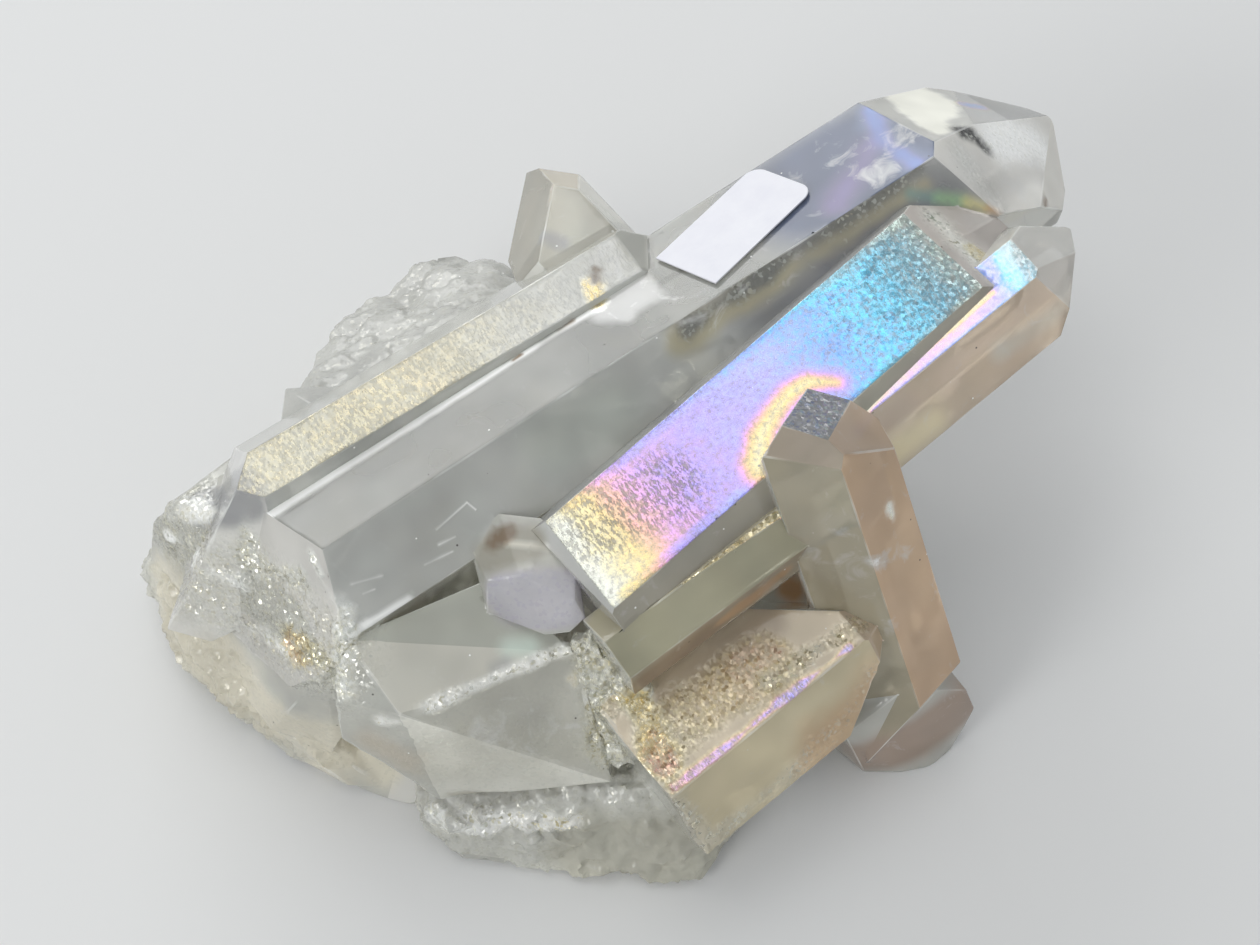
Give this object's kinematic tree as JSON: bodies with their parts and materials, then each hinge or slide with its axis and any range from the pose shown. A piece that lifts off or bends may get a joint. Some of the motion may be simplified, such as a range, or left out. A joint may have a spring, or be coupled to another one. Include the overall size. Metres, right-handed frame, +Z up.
{
  "type": "angel aura quartz cluster",
  "caption": "Cluster of clear quartz points with an iridescent aura coating, lying on a rough broken root, with a blank paper sticker.",
  "frame": {"origin": "middle of the cluster's outline, on the surface it lies on", "axes": "+X along the main crystal towards its point, +Z up, -Y the side where the cross point stands"},
  "size_m": [0.1202, 0.0854, 0.0496],
  "materials": {
    "quartz": "clear to milky quartz, polished by growth, with an iridescent coating in blue, violet, yellow and gold on the faces that catch the light",
    "label_paper": "smooth white sticker paper, blank"
  },
  "bodies": {
    "root": {"quartz_cluster": "quartz", "paper_label": "label_paper"}
  },
  "joints": []
}
